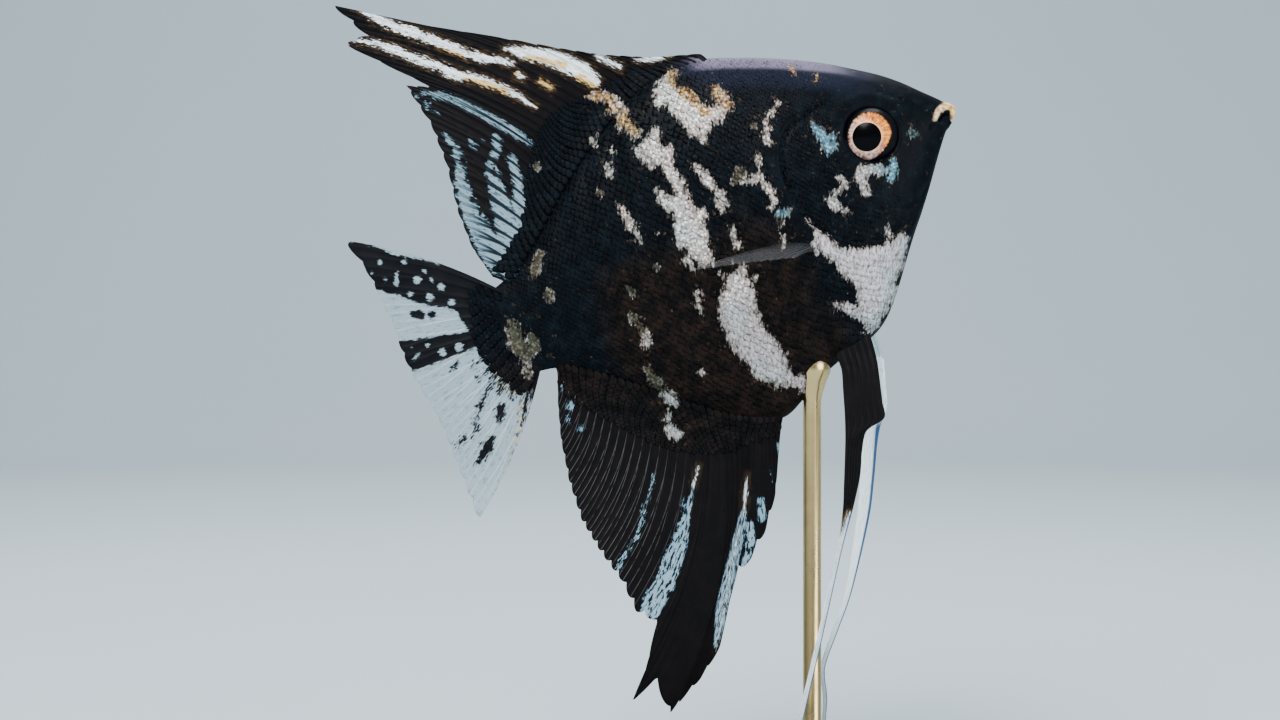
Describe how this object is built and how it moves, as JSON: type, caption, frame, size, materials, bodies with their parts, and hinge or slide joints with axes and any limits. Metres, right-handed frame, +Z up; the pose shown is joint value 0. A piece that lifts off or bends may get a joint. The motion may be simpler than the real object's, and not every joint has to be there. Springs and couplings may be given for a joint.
{
  "type": "freshwater angelfish display model",
  "caption": "Life-size still model of a marbled freshwater angelfish swimming nose-up, with tall sail fins and long trailing pelvic fins, on a rod and an oval wooden base.",
  "frame": {"origin": "centre of the underside of the oval stand base", "axes": "+X towards the fish's head, +Y towards its left side, +Z up; the body axis is pitched 26 degrees nose-up in the XZ plane"},
  "size_m": [0.1229, 0.066, 0.149],
  "materials": {
    "skin": "scaled skin, satin and wet-looking, black with silver marbling",
    "lip": "soft satin",
    "eye": "clear glossy cornea over an orange and pinkish-white iris with a black pupil",
    "fin": "thin translucent membrane between bony rays, marbled black and clear",
    "streamer": "thin translucent white fin",
    "rod": "satin brass",
    "base": "dark oiled hardwood"
  },
  "bodies": {
    "root": {"head": "skin", "gill_cover_left": "skin", "gill_cover_right": "skin", "eye_left": "eye", "eye_right": "eye", "upper_lip": "lip", "lower_lip": "lip", "trunk": "skin", "tail_base": "skin", "dorsal_fin": "fin", "anal_fin": "fin", "caudal_fin": "fin", "pelvic_fin_right": "fin", "pelvic_fin_left": "streamer", "pectoral_fin_right": "streamer", "pectoral_fin_left": "streamer", "stand_base": "base", "stand_rod": "rod"}
  },
  "joints": []
}
